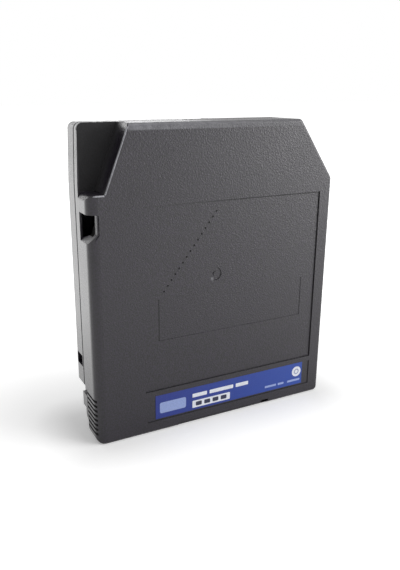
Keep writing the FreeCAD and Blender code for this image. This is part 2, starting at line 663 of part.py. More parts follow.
label = new_body("label")
prism(label, "label_sheet", "XZ",
      [plate("$label_left", "$label_low", "$label_right", "$rule_low-$rule_gap")],
      FRONT + "+$tray_deep-$label_thick", FRONT + "+$tray_deep")

# ----------------------------------------------------------------------- reel

HALF_ROOM = "($tape/2+$tape_slack)"
HUB_IN = "($hub-$hub_wall)"
HUB_TEETH = "($web_front-$brake_tooth)"
FLANGE_FRONT = "(-%s-$flange_thick)" % HALF_ROOM


def tooth_gaps(body, name, count, inner, outer, tips, deep):
    """Radial V cuts that leave a ring of face teeth; deep is signed along Y."""
    half = "(pi*(%s)/(%s)*$tooth_slope)" % (outer, count)
    points = [(tips, "-" + half), (tips + "+" + deep, "0"), (tips, half)]
    sketch = new_sketch(body, name + "_sketch", "YZ", "$reel_across+" + outer + "+$over/2",
                        [points], ("0", "$reel_up"))
    gap = body.newObject("PartDesign::Pocket", name)
    gap.Profile = sketch
    gap.setExpression("Length", use("%s-(%s)+$over" % (outer, inner)))
    doc.recompute()
    axis = new_sketch(body, name + "_axis", "XY", "$reel_up", [], ("$reel_across", "0"))
    return polar(body, name + "s", [gap], axis, count)


def legs(body, name, inner, outer, low, high, span, cut):
    """One curved leg, or the window that it stands in, straight above the middle."""
    return turned(body, name, plate(inner, low, outer, high), REEL, cut,
                  "90+(%s)/2" % span, span)


hub = new_body("reel_hub")
profile = [("0", "$web_front"), (HUB_IN, "$web_front"), (HUB_IN, "-%s-$spigot_long" % HALF_ROOM),
           (HUB_IN + "+$spigot", "-%s-$spigot_long" % HALF_ROOM),
           (HUB_IN + "+$spigot", "-" + HALF_ROOM), ("$hub", "-" + HALF_ROOM),
           ("$hub", HALF_ROOM), ("$flange", HALF_ROOM),
           ("$flange", HALF_ROOM + "+$flange_thick"), ("$hub", HALF_ROOM + "+$flange_thick"),
           ("$ring_out", "$web_rear"), ("0", "$web_rear")]
turned(hub, "hub_turned", profile, REEL)
turned(hub, "coupling_ring", plate("$ring_in", "$web_rear-$bite", "$ring_out", "$ring_high"), REEL)
tooth_gaps(hub, "coupling_gap", "$ring_teeth", "$ring_in", "$ring_out", "$ring_high+$skin",
           "-$ring_tooth_deep")
turned(hub, "lock_ring", plate("$tooth_in", HUB_TEETH, "$brake", "$web_front+$bite"), REEL)
tooth_gaps(hub, "lock_gap", "$brake_teeth", "$tooth_in", "$brake", HUB_TEETH + "-$skin",
           "$brake_tooth*$tooth_part")
window = legs(hub, "leg_window", "$leg_in-$leg_gap", "$leg_out+$leg_gap", "$web_front-$window_over",
              "$web_rear+$window_over", "$leg_span+$window_extra", True)
polar(hub, "leg_windows", [window], window.Profile[0], "3")

flange = new_body("reel_flange")
turned(flange, "flange_turned", plate(HUB_IN + "+$spigot+$spigot_gap", FLANGE_FRONT, "$flange",
                                      "-" + HALF_ROOM), REEL)

steel = new_body("drive_plate")
turned(steel, "plate_turned", plate("$plate_hole", "$web_rear", "$plate",
                                    "$web_rear+$plate_thick"), REEL)

pack = new_body("tape_pack")
turned(pack, "pack_turned", plate("$hub+$pack_gap", "-$tape/2", "$pack", "$tape/2"), REEL)

# ---------------------------------------------------------- brake and release

TIPS = "(%s-$mesh_gap)" % HUB_TEETH
DISC_REAR = "(%s-$brake_tooth)" % TIPS
DISC_FRONT = "(%s-$brake_thick)" % DISC_REAR
SOCKET = "($post_end+$brake_stroke+$sleeve_room)"
SPIDER_REAR = "($web_front-$spider_gap)"
SPIDER_FRONT = "(%s-$spider_thick)" % SPIDER_REAR
BALL_Y = "(%s-$ball_gap-$ball)" % SPIDER_FRONT

brake = new_body("brake_button")
profile = [("0", SOCKET), ("$post+$post_gap", SOCKET), ("$post+$post_gap", "$sleeve_end"),
           ("$sleeve", "$sleeve_end"), ("$sleeve", DISC_FRONT), ("$brake", DISC_FRONT),
           ("$brake", TIPS), ("$tooth_in", TIPS), ("$tooth_in", DISC_REAR),
           ("$ball+$ball_gap", DISC_REAR), ("$ball+$ball_gap", BALL_Y + "-$ball-$ball_gap"),
           ("0", BALL_Y + "-$ball-$ball_gap")]
turned(brake, "button_turned", profile, REEL)
tooth_gaps(brake, "brake_gap", "$brake_teeth", "$tooth_in", "$brake", TIPS + "+$skin",
           "-$brake_tooth*$tooth_part")
key_half = "($key/2+$post_gap)"
key_reach = "($post+$key_proud+$post_gap)"
prism(brake, "key_way", "XZ",
      [plate("$reel_across-" + key_half, "$reel_up-" + key_reach,
             "$reel_across+" + key_half, "$reel_up+" + key_reach)],
      "$sleeve_end-$over", SOCKET, cut=True)

ball = doc.addObject("Part::Sphere", "thrust_ball")
ball.Label = "thrust_ball"
ball.setExpression("Radius", use("$ball"))
ball.setExpression("Placement.Base.x", use("$reel_across"))
ball.setExpression("Placement.Base.y", use(BALL_Y))
ball.setExpression("Placement.Base.z", use("$reel_up"))

spider = new_body("release_spider")
prism(spider, "spider_disc", "XZ", [REEL + ("$spider_arm",)], SPIDER_FRONT, SPIDER_REAR)
bar = prism(spider, "spider_arm", "XZ",
            [plate("$reel_across-$spider_arm/2", "$reel_up", "$reel_across+$spider_arm/2",
                   "$reel_up+$leg_in+$bite")], SPIDER_FRONT, SPIDER_REAR)
leg = legs(spider, "spider_leg", "$leg_in", "$leg_out", SPIDER_FRONT, "$ring_high-$leg_short",
           "$leg_span", False)
polar(spider, "spider_arms", [bar, leg], leg.Profile[0], "3")


def coil(name, radius, wire, turns, low, high):
    """A coil spring of square wire along its own Z axis."""
    span = "((%s)-(%s)-%s-2*$spring_gap)" % (high, low, wire)
    helix = doc.addObject("Part::Helix", name + "_line")
    helix.setExpression("Radius", use(radius))
    helix.setExpression("Pitch", use("%s/%s" % (span, turns)))
    helix.setExpression("Height", use(span))
    section = doc.addObject("Part::RegularPolygon", name + "_wire")
    section.Polygon = 4
    section.setExpression("Circumradius", use(wire + "/sqrt(2)"))
    upright = Rotation(Vector(1, 0, 0), 90)
    section.Placement = Placement(Vector(), upright * Rotation(Vector(0, 0, 1), 45))
    section.setExpression("Placement.Base.x", use(radius))
    sweep = doc.addObject("Part::Sweep", name)
    sweep.Label = name
    sweep.Sections = [section]
    sweep.Spine = (helix, ["Edge1"])
    sweep.Solid = True
    sweep.Frenet = True
    doc.recompute()
    return sweep


brake_spring = coil("brake_spring", "$spring_size", "$spring_wire", "$spring_turns",
                    INNER_FRONT, DISC_FRONT)
brake_spring.Placement = Placement(Vector(), Rotation(Vector(1, 0, 0), -90))
brake_spring.setExpression("Placement.Base.x", use("$reel_across"))
brake_spring.setExpression("Placement.Base.y", use(INNER_FRONT + "+$spring_wire/2+$spring_gap"))
brake_spring.setExpression("Placement.Base.z", use("$reel_up"))

# --------------------------------------------------------------- tape leader

PIN = ("$pin_across", "$pin_up")
pin = new_body("leader_pin")
pin_half = "($depth/2-$wall-$pin_gap)"
neck = "($tape/2+$neck_gap)"
turned(pin, "pin_turned", [("0", "-" + pin_half), ("$pin_head", "-" + pin_half),
                           ("$pin_head", "-" + neck), ("$pin_shaft", "-" + neck),
                           ("$pin_shaft", neck), ("$pin_head", neck),
                           ("$pin_head", pin_half), ("0", pin_half)], PIN)

REACH = "sqrt(($pin_across-$reel_across)^2+($pin_up-$reel_up)^2)"
BEARING = "(atan(($pin_up-$reel_up)/($pin_across-$reel_across))/1deg)"
OVER_PACK = "($pack+$leader_gap)"
OVER_PIN = "($pin_shaft+$leader_gap/3)"
TANGENT = "(%s+acos((%s-%s)/%s)/1deg)" % (BEARING, OVER_PACK, OVER_PIN, REACH)

clip = new_body("tape_clip")
turned(clip, "clip_turned", plate("$pin_shaft+$clip_gap", "-$tape/2", "$pin_shaft+$clip_thick",
                                  "$tape/2"), PIN, False, TANGENT, "360-$clip_opening")

leader = doc.addObject("Part::Box", "tape_leader")
leader.Label = "tape_leader"
leader.setExpression("Length", use("sqrt(%s^2-(%s-%s)^2)" % (REACH, OVER_PACK, OVER_PIN)))
leader.setExpression("Width", use("$tape"))
leader.setExpression("Height", use("$leader_thick"))
leader.Placement = Placement(Vector(), Rotation(Vector(0, 1, 0), 1))
leader.setExpression("Placement.Base.x", use("$reel_across+%s*cos(%s*1deg)" % (OVER_PACK, TANGENT)))
leader.setExpression("Placement.Base.y", use("-$tape/2"))
leader.setExpression("Placement.Base.z", use("$reel_up+%s*sin(%s*1deg)" % (OVER_PACK, TANGENT)))
leader.setExpression("Placement.Rotation.Angle", use("90-" + TANGENT))

keepers = []
for name, low, high in (("pin_keeper_front", INNER_FRONT, INNER_FRONT + "+$keeper_long"),
                        ("pin_keeper_rear", INNER_REAR + "-$keeper_long", INNER_REAR)):
    keeper = new_body(name)
    start = DOOR_ANGLE + "-$keeper_opening/2"
    turned(keeper, name + "_turned",
           plate("$pin_head+$keeper_gap", low, "$pin_head+$keeper_gap+$keeper_thick", high),
           PIN, False, start, "360-$keeper_opening")
    keepers.append(keeper)

# ----------------------------------------------------------------------- door

DOOR_HALF = "($depth/2-$wall+$track_deep-$track_gap)"
door = new_body("door")
turned(door, "door_panel", plate("$door-$door_thick", "-" + DOOR_HALF, "$door", DOOR_HALF),
       DOOR_MIDDLE, False, DOOR_TOP, "$door_span")
turned(door, "door_lug", plate("$door-$bite", "-$lug_wide/2", "$door+$lug_proud", "$lug_wide/2"),
       DOOR_MIDDLE, False, DOOR_TOP + "-$door_span+$lug_span", "$lug_span")

DOOR_FOOT = "(%s+($door-$door_thick)*sin((%s-$door_span)*1deg))" % (DOOR_MIDDLE_Z, DOOR_TOP)
door_spring = coil("door_spring", "$door_spring_size", "$door_spring_wire", "$door_spring_turns",
                   "$shelf_up+$shelf_thick", DOOR_FOOT)
door_spring.setExpression("Placement.Base.x",
                          use(RIGHT + "-$wall-$door_gap-$door_thick-$door_spring_in"))
door_spring.setExpression("Placement.Base.y", use("$door_spring_side"))
door_spring.setExpression("Placement.Base.z",
                          use("$shelf_up+$shelf_thick+$door_spring_wire/2+$spring_gap"))

# ------------------------------------------------------- write protect switch

SLIDE_LOW = "($wall+$slide_gap)"
slide = new_body("write_protect_slide")
prism(slide, "slide_plate", "XY",
      [plate("$slide_left", "$slide_middle-$slide_wide/2", "$slide_left+$slide_long",
             "$slide_middle+$slide_wide/2")], SLIDE_LOW, SLIDE_LOW + "+$slide_thick")
prism(slide, "slide_thumb", "XY",
      [plate(THUMB_LEFT, "$slide_middle-$thumb_wide/2", THUMB_LEFT + "+$thumb_long",
             "$slide_middle+$thumb_wide/2")], "$thumb_sunk", SLIDE_LOW)
prism(slide, "thumb_groove", "XY",
      [plate(THUMB_LEFT + "+($thumb_long-$thumb_groove_wide)/2", "$slide_middle-$thumb_wide/2-$over",
             THUMB_LEFT + "+($thumb_long+$thumb_groove_wide)/2", "$slide_middle+$thumb_wide/2+$over")],
      "$thumb_sunk-$over", "$thumb_sunk+$thumb_groove_deep", cut=True)

# --------------------------------------------------------------- memory board

board = new_body("memory_board")
half = "$board_thick/2"
prism(board, "board_plate", "XZ", [slanted("0", "$board_long", "-" + half, half)],
      HOLDER_FLOOR + "+$board_gap", HOLDER_FLOOR + "+$board_gap+$board_wide")
chip = new_body("memory_chip")
chip_start = "($board_long-$chip)/2"
prism(chip, "chip_block", "XZ",
      [slanted(chip_start, chip_start + "+$chip", "-%s-$chip_thick" % half, "-" + half)],
      "-$chip/2", "$chip/2")

# --------------------------------------------------------------------- screws


def case_screw():
    """One pan head screw that points to the front face, with a cross recess."""
    head_low = size(use(REAR + "-$screw_head_deep-$screw_sunk"))
    head = Part.makeCylinder(size(use("$screw_head")), size(use("$screw_head_deep")),
                             Vector(0, head_low, 0), Vector(0, 1, 0))
    reach = head_low - size(use("$seam-$screw_reach"))
    shank = Part.makeCylinder(size(use("$screw")), reach, Vector(0, head_low, 0), Vector(0, -1, 0))
    arm = size(use("$recess_long"))
    wide = size(use("$recess_wide"))
    deep = size(use("$recess_deep"))
    top = head_low + size(use("$screw_head_deep"))
    across = Part.makeBox(arm, deep, wide, Vector(-arm / 2, top - deep, -wide / 2))
    upright = Part.makeBox(wide, deep, arm, Vector(-wide / 2, top - deep, -arm / 2))
    return head.fuse(shank).cut(across).cut(upright).removeSplitter()


screws = doc.addObject("Part::Feature", "case_screws")
screws.Label = "case_screws"
copies = []
for x, z in screw_places():
    copy = case_screw()
    copy.translate(Vector(size(use(x)), 0, size(use(z))))
    copies.append(copy)
screws.Shape = Part.makeCompound(copies)

# --------------------------------------------------------------------- output

doc.recompute()
SUBPARTS = [front, rear, label, hub, flange, steel, pack, brake, ball, spider, brake_spring,
            pin, clip, leader] + keepers + [door, door_spring, slide, board, chip, screws]

faults = ["%s: %s" % (o.Name, ", ".join(o.State)) for o in doc.Objects
          if "Invalid" in o.State or "Error" in o.State]
faults += [o.Label + ": no valid solid" for o in SUBPARTS
           if o.Shape.isNull() or not o.Shape.isValid() or not o.Shape.Solids]
if faults:
    raise RuntimeError("; ".join(faults))

os.makedirs("parts", exist_ok=True)
for part in SUBPARTS:
    part.Shape.exportStep("parts/%s.step" % part.Label)
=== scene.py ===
import math
import bmesh
import bpy
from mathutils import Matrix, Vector


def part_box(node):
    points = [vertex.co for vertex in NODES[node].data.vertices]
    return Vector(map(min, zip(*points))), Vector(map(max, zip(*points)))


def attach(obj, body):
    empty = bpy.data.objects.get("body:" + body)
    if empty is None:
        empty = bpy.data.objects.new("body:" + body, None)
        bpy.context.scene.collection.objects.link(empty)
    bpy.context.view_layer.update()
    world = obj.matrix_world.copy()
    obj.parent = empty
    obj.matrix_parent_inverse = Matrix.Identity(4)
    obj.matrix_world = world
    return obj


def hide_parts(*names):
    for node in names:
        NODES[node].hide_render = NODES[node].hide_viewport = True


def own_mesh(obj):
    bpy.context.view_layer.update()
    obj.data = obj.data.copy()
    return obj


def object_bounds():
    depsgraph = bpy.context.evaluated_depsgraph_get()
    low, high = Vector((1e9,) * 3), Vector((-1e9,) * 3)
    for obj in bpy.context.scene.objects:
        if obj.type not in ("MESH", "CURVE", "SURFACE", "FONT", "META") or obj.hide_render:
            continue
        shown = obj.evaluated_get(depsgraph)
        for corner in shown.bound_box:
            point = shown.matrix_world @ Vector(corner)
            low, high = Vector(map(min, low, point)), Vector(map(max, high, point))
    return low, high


# Looks of a half-inch data tape cartridge with one reel.
# It stands on its label end: X across the case, Y from the front face to the
# drive side, Z up. Lengths are in metres, unless a name or a comment says mm.

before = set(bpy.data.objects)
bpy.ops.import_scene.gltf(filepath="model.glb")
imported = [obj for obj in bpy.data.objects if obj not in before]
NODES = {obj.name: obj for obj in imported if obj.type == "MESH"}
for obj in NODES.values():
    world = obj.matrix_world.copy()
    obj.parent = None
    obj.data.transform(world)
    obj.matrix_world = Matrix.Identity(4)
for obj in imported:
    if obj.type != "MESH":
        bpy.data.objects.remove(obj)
CAD_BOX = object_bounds()
MM = 0.001
MM_PER_METRE = 1000.0

# Points of a mesh that are nearer to each other than this are merged.
TOUCHING = 1e-8

CASE_LOW, CASE_HIGH = CAD_BOX
WIDTH = CASE_HIGH.x - CASE_LOW.x
DEPTH = CASE_HIGH.y - CASE_LOW.y
HEIGHT = CASE_HIGH.z - CASE_LOW.z
CASE_MIDDLE = (CASE_LOW + CASE_HIGH) / 2
SEAM_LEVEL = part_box("rear_shell")[0].y

REEL_LOW, REEL_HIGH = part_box("reel_hub")
REEL_MIDDLE = (REEL_LOW + REEL_HIGH) / 2

LABEL_LOW, LABEL_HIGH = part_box("label")
INK_THICK = 0.02 * MM


# ------------------------------------------------------------------ node tools

def add_node(tree, kind, inputs=None, **settings):
    """A shader node with its settings made and its sockets set or linked."""
    made = tree.nodes.new(kind)
    for name, value in settings.items():
        setattr(made, name, value)
    for socket, value in (inputs or {}).items():
        if isinstance(value, bpy.types.NodeSocket):
            tree.links.new(value, made.inputs[socket])
        else:
            made.inputs[socket].default_value = value
    return made


def calculate(tree, operation, *values):
    """The output of a Math node whose inputs are numbers or sockets."""
    inputs = dict(enumerate(values))
    return add_node(tree, "ShaderNodeMath", inputs, operation=operation).outputs[0]


def vector_step(tree, operation, *values):
    """The outputs of a Vector Math node whose inputs are vectors or sockets."""
    inputs = dict(enumerate(values))
    return add_node(tree, "ShaderNodeVectorMath", inputs, operation=operation).outputs


def together(tree, operation, *values):
    """Many values taken two at a time by one operation."""
    total = values[0]
    for value in values[1:]:
        total = calculate(tree, operation, total, value)
    return total


def span(tree, value, low, high, to_low=0.0, to_high=1.0):
    """A value taken from one range to another, and held inside it."""
    inputs = {"Value": value, "From Min": low, "From Max": high,
              "To Min": to_low, "To Max": to_high}
    return add_node(tree, "ShaderNodeMapRange", inputs).outputs["Result"]


def changed(tree, value, mask, amount):
    """A value with an amount added to it where a mask is one."""
    return calculate(tree, "MULTIPLY_ADD", mask, amount, value)


def blend_colours(tree, share, first, second):
    """Two colours mixed by a share, each a tuple or a socket."""
    share_socket, first_socket, second_socket, result = 0, 6, 7, 2
    inputs = {share_socket: share, first_socket: first, second_socket: second}
    return add_node(tree, "ShaderNodeMix", inputs, data_type="RGBA").outputs[result]


def noise(tree, place, cells_per_metre, detail=2.0, rough=0.55, stretch=None):
    """A noise value over the object, squeezed along its axes where stretch says."""
    if stretch:
        place = add_node(tree, "ShaderNodeMapping", {"Vector": place, "Scale": stretch}).outputs[0]
    inputs = {"Vector": place, "Scale": cells_per_metre, "Detail": detail, "Roughness": rough}
    return add_node(tree, "ShaderNodeTexNoise", inputs).outputs["Fac"]


def noise_along(tree, value, detail):
    """A noise value that changes with one number only."""
    inputs = {"W": value, "Scale": 1.0, "Detail": detail}
    return add_node(tree, "ShaderNodeTexNoise", inputs, noise_dimensions="1D").outputs["Fac"]


def split(tree, vector):
    """The X, Y and Z of a vector."""
    return add_node(tree, "ShaderNodeSeparateXYZ", {"Vector": vector}).outputs


FLOAT, VECTOR = "NodeSocketFloat", "NodeSocketVector"
PLACE = ("Vector", VECTOR, None)
FRONT = ("Front Y", FLOAT, 0.0)


def new_group(name, inputs, outputs):
    """An empty shader group with its named inputs and number outputs, its start and its end."""
    group = bpy.data.node_groups.new(name, "ShaderNodeTree")
    for socket, kind, value in inputs:
        made = group.interface.new_socket(socket, in_out="INPUT", socket_type=kind)
        if value is not None:
            made.default_value = value
    for socket in outputs:
        group.interface.new_socket(socket, in_out="OUTPUT", socket_type=FLOAT)
    start = group.nodes.new("NodeGroupInput")
    end = group.nodes.new("NodeGroupOutput")
    return group, start.outputs, end.inputs


# ---------------------------------------------------------------- finish groups

def make_mould_grain():
    """Spark-eroded grain: a pebbled height, and slow changes of tone between batches of melt."""
    group, given, out = new_group("mould_grain", [PLACE, ("Cell mm", FLOAT, 0.4)],
                                  ["Height", "Tone", "Glint", "Fleck"])
    scale = calculate(group, "DIVIDE", MM_PER_METRE, given["Cell mm"])
    finer, slower = 3.1, 0.03
    coarse = noise(group, given["Vector"], scale)
    pebbles = add_node(group, "ShaderNodeTexVoronoi",
                       {"Vector": given["Vector"], "Scale": scale, "Smoothness": 0.6},
                       feature="SMOOTH_F1").outputs["Distance"]
    fine = noise(group, given["Vector"], calculate(group, "MULTIPLY", scale, finer))
    tone = noise(group, given["Vector"], calculate(group, "MULTIPLY", scale, slower), detail=3.0)
    height = together(group, "ADD", calculate(group, "MULTIPLY", coarse, 0.6),
                      calculate(group, "MULTIPLY", pebbles, 0.5),
                      calculate(group, "MULTIPLY", fine, 0.25))
    group.links.new(height, out["Height"])
    group.links.new(span(group, tone, 0.3, 0.7), out["Tone"])
    group.links.new(span(group, fine, 0.62, 0.74), out["Glint"])
    group.links.new(span(group, coarse, 0.35, 0.68), out["Fleck"])
    return group


def make_painted_edge_highlight():
    """A mask for painted highlight along a box's edges, in patches: close to two of its faces at
    once.
    """
    group, given, out = new_group(
        "painted_edge_highlight",
        [PLACE, ("Half X", FLOAT, 0.05), ("Half Y", FLOAT, 0.01), ("Half Z", FLOAT, 0.06),
         ("Reach mm", FLOAT, 1.0)],
        ["Rub"])
    parts = split(group, given["Vector"])
    gaps = [calculate(group, "SUBTRACT", given["Half " + axis],
                      calculate(group, "ABSOLUTE", parts[axis])) for axis in "XYZ"]
    pairs = [calculate(group, "ADD", gaps[a], gaps[b]) for a, b in ((0, 1), (0, 2), (1, 2))]
    reach = calculate(group, "MULTIPLY", given["Reach mm"], MM)
    share = calculate(group, "DIVIDE", together(group, "MINIMUM", *pairs), reach)
    close = span(group, share, 0.0, 1.0, 1.0, 0.0)
    patchy = span(group, noise(group, given["Vector"], 260.0, detail=4.0, rough=0.65), 0.38, 0.62)
    group.links.new(calculate(group, "MULTIPLY", close, patchy), out["Rub"])
    return group


def make_handling():
    """Smudges from fingers and hairline scuffs from racks."""
    group, given, out = new_group("handling", [PLACE], ["Smudge", "Scuff"])
    smudge = span(group, noise(group, given["Vector"], 55.0, detail=3.0, rough=0.5), 0.45, 0.75)
    lines = noise(group, given["Vector"], 70.0, detail=2.0, rough=0.5, stretch=(0.6, 0.6, 14.0))
    broken = span(group, noise(group, given["Vector"], 90.0, detail=2.0), 0.5, 0.62)
    scuff = calculate(group, "MULTIPLY", span(group, lines, 0.66, 0.70), broken)
    group.links.new(smudge, out["Smudge"])
    group.links.new(scuff, out["Scuff"])
    return group


def make_painted_seam_shade():
    """A painted shade line where two shells meet, at one level of Y."""
    group, given, out = new_group(
        "painted_seam_shade", [PLACE, ("Level", FLOAT, 0.0), ("Half mm", FLOAT, 0.4)], ["Dust"])
    level = split(group, given["Vector"])["Y"]
    gap = calculate(group, "ABSOLUTE", calculate(group, "SUBTRACT", level, given["Level"]))
    share = calculate(group, "DIVIDE", gap, calculate(group, "MULTIPLY", given["Half mm"], MM))
    # Painted shade: strongest at the seam's level, fading within the half width.
    near = span(group, share, 0.7, 1.3, 1.0, 0.0)
    patchy = span(group, noise(group, given["Vector"], 130.0, detail=3.0), 0.25, 0.55, 0.7, 1.0)
    group.links.new(calculate(group, "MULTIPLY", near, patchy), out["Dust"])
    return group


def case_places(tree, given):
    """A point of the case: its x, y and z, how far across from the middle, how deep."""
    parts = split(tree, given["Vector"])
    return {"x": parts["X"], "y": parts["Y"], "z": parts["Z"],
            "across": calculate(tree, "ABSOLUTE", parts["X"]),
            "deep": calculate(tree, "SUBTRACT", parts["Y"], given["Front Y"])}


def inside(tree, places, **limits):
    """One where each named place lies between its two limits in mm, and nought elsewhere."""
    masks = []
    for name, (low, high) in limits.items():
        masks.append(calculate(tree, "GREATER_THAN", places[name], low * MM))
        masks.append(calculate(tree, "LESS_THAN", places[name], high * MM))
    return together(tree, "MULTIPLY", *masks)


def fade(tree, value, low, high, to_low, to_high):
    """A length between two limits in mm, taken to another range."""
    return span(tree, value, low * MM, high * MM, to_low, to_high)


# The grip grooves: the level of the first and the step from one to the next, in mm,
# and the shares of a step between which their painted shade ends.
GROOVE_FIRST, GROOVE_PITCH = 4.4, 2.05
GROOVE_SHADE_ENDS = (0.25, 0.27)

# The rooms that hold the case's cuts and its painted shade and highlights, in mm: x, y and z
# from the origin, across from the middle of the case, deep from its front face.
FRONT_SKIN, EDGE_SKIN, HEAD_SKIN = (-0.1, 0.9), (-0.1, 0.45), (-0.1, 2.4)
PANEL_LEFT, PANEL_RIGHT = -32.0, 48.7
GRIP_GROOVES = {"across": (50.0, 55.0), "y": (-10.6, -0.8), "z": (3.8, 19.4)}
FRONT_CUTS = {"deep": (0.05, 0.9), "x": (-35.0, 50.0), "z": (4.0, 96.0)}
PANEL_TOP = {"z": (94.40, 94.95), "x": (PANEL_LEFT, PANEL_RIGHT), "deep": FRONT_SKIN}
FRAME_LEFT = {"x": (-27.40, -26.90), "z": (40.2, 57.7), "deep": FRONT_SKIN}
NOTCH_ROOM = {"y": (-11.5, -0.5), "x": (-53.8, -36.0), "z": (100.5, 130.0)}
TOP_SCOOP = {"x": (-8.1, 3.1), "y": (3.2, 11.2), "z": (123.0, 125.1)}

# The notch's slanted wall, from its foot at the ledge to its top at the head, in mm,
# and the place of the gate's painted highlight.
SLANT_FOOT_X, SLANT_FOOT_Z = -48.07, 100.2
SLANT_TOP_X, SLANT_TOP_Z = -38.4, 125.0
SLANT_ANGLE = math.atan2(SLANT_TOP_X - SLANT_FOOT_X, SLANT_TOP_Z - SLANT_FOOT_Z)
SLANT_EDGE = {"gap": (-0.20, 0.50), "z": (SLANT_FOOT_Z, SLANT_TOP_Z - 1.2)}
LEDGE_EDGE = {"z": (99.7, 100.4), "x": (-53.6, SLANT_FOOT_X)}
GATE_SPOT = (REEL_MIDDLE.x - 1.3 * MM, 0.0, REEL_MIDDLE.z - 2.0 * MM)


def make_painted_hollow_shade():
    """Painted shade in hollows: grip grooves, fine cuts in the front face, the panel's top edge,
    the inner frame, notch and scoop.
    """
    group, given, out = new_group("painted_hollow_shade", [PLACE, FRONT, ("Wall", FLOAT, 0.0)], ["Dirt"])
    places = case_places(group, given)
    above = calculate(group, "SUBTRACT", places["z"], GROOVE_FIRST * MM)
    step = calculate(group, "DIVIDE", above, GROOVE_PITCH * MM)
    off = calculate(group, "SUBTRACT", step, calculate(group, "ROUND", step))
    off = calculate(group, "ABSOLUTE", off)
    grooves = calculate(group, "MULTIPLY", inside(group, places, **GRIP_GROOVES),
                        span(group, off, *GROOVE_SHADE_ENDS, 1.0, 0.0))
    cuts = calculate(group, "MULTIPLY", inside(group, places, **FRONT_CUTS), given["Wall"])
    panel = calculate(group, "MULTIPLY", inside(group, places, **PANEL_TOP),
                      fade(group, places["x"], PANEL_LEFT, 5.0, 0.0, 0.6))
    inner_frame = calculate(group, "MULTIPLY", inside(group, places, **FRAME_LEFT), 0.9)
    notch = calculate(group, "MULTIPLY", inside(group, places, **NOTCH_ROOM),
                      fade(group, places["y"], -9.0, -3.0, 0.0, 0.8))
    scoop = inside(group, places, **TOP_SCOOP)
    # Painted shade: each mask marks where shade falls in a hollow, to be painted black.
    hollow_shade = together(group, "MAXIMUM", grooves, cuts, panel, inner_frame, notch, scoop)
    group.links.new(hollow_shade, out["Dirt"])
    return group


def make_painted_highlights():
    """Painted highlights: pale along the front edges of notch and head, and at the gate's rim."""
    group, given, out = new_group("painted_highlights", [PLACE, FRONT], ["Wear"])
    places = case_places(group, given)
    right = calculate(group, "SUBTRACT", places["x"], SLANT_FOOT_X * MM)
    up = calculate(group, "SUBTRACT", places["z"], SLANT_FOOT_Z * MM)
    places["gap"] = calculate(group, "SUBTRACT",
                              calculate(group, "MULTIPLY", right, math.cos(SLANT_ANGLE)),
                              calculate(group, "MULTIPLY", up, math.sin(SLANT_ANGLE)))
    edges = calculate(group, "MAXIMUM", inside(group, places, **SLANT_EDGE),
                      inside(group, places, **LEDGE_EDGE))
    notch = calculate(group, "MULTIPLY", edges, inside(group, places, deep=EDGE_SKIN))
    head = together(group, "MULTIPLY", fade(group, places["z"], 122.2, 122.7, 0.0, 0.40),
                    fade(group, places["x"], -30.0, 25.0, 1.0, 0.25),
                    calculate(group, "GREATER_THAN", places["x"], SLANT_TOP_X * MM),
                    inside(group, places, deep=HEAD_SKIN))
    flat = vector_step(group, "MULTIPLY", given["Vector"], (1.0, 0.0, 1.0))[0]
    reach = vector_step(group, "DISTANCE", flat, GATE_SPOT)["Value"]
    gate = calculate(group, "MULTIPLY", inside(group, places, deep=FRONT_SKIN),
                     fade(group, reach, 0.35, 0.95, 0.45, 0.0))
    patchy = span(group, noise(group, given["Vector"], 300.0, detail=3.0), 0.3, 0.6, 0.55, 1.0)
    highlighted = together(group, "MAXIMUM", notch, head, gate)
    group.links.new(calculate(group, "MULTIPLY", highlighted, patchy), out["Wear"])
    return group


def make_turned_lines():
    """Fine rings about the Y axis, as a lathe or the edges of wound tape leave."""
    group, given, out = new_group("turned_lines", [PLACE, ("Pitch mm", FLOAT, 0.2)],
                                  ["Ring", "Band"])
    parts = split(group, given["Vector"])
    squares = [calculate(group, "MULTIPLY", parts[axis], parts[axis]) for axis in "XZ"]
    radius = calculate(group, "SQRT", calculate(group, "ADD", squares[0], squares[1]))
    radius_mm = calculate(group, "MULTIPLY", radius, MM_PER_METRE)
    rings = calculate(group, "DIVIDE", radius_mm, given["Pitch mm"])
    bands_per_ring = 0.06
    bands = calculate(group, "MULTIPLY", rings, bands_per_ring)
    ring = noise_along(group, rings, detail=2.0)
    band = noise_along(group, bands, detail=1.0)
    group.links.new(ring, out["Ring"])
    group.links.new(span(group, band, 0.35, 0.65), out["Band"])
    return group


MOULD_GRAIN = make_mould_grain()
PAINTED_EDGE_HIGHLIGHT = make_painted_edge_highlight()
HANDLING = make_handling()
PAINTED_SEAM_SHADE = make_painted_seam_shade()
PAINTED_HOLLOW_SHADE = make_painted_hollow_shade()
PAINTED_HIGHLIGHTS = make_painted_highlights()
TURNED_LINES = make_turned_lines()


# -------------------------------------------------------------- material tools

def new_material(name):
    """A material with its shader, and the object coordinates."""
    material = bpy.data.materials.new(name)
    material.use_nodes = True
    tree = material.node_tree
    shader = tree.nodes["Principled BSDF"]
    place = add_node(tree, "ShaderNodeTexCoord").outputs["Object"]
    return material, tree, shader, place


def use_group(tree, group, **inputs):
    """A group node; a word in the call such as Cell_mm names the socket Cell mm."""
    named = {key.replace("_", " "): value for key, value in inputs.items()}
    return add_node(tree, "ShaderNodeGroup", named, node_tree=group).outputs


def facing(tree, axis):
    """How far the surface faces along one axis, either way."""
    normal = add_node(tree, "ShaderNodeTexCoord").outputs["Normal"]
    return calculate(tree, "ABSOLUTE", split(tree, normal)[axis])


def centred(tree, place, middle):
    """Object coordinates counted from a point."""
    back = tuple(-value for value in middle)
    return add_node(tree, "ShaderNodeMapping", {"Vector": place, "Location": back}).outputs[0]


def shade(colour, factor):
    """A colour made darker or lighter by a factor, and no lighter than white."""
    return tuple(min(1.0, part * factor) for part in colour[:3]) + (1.0,)


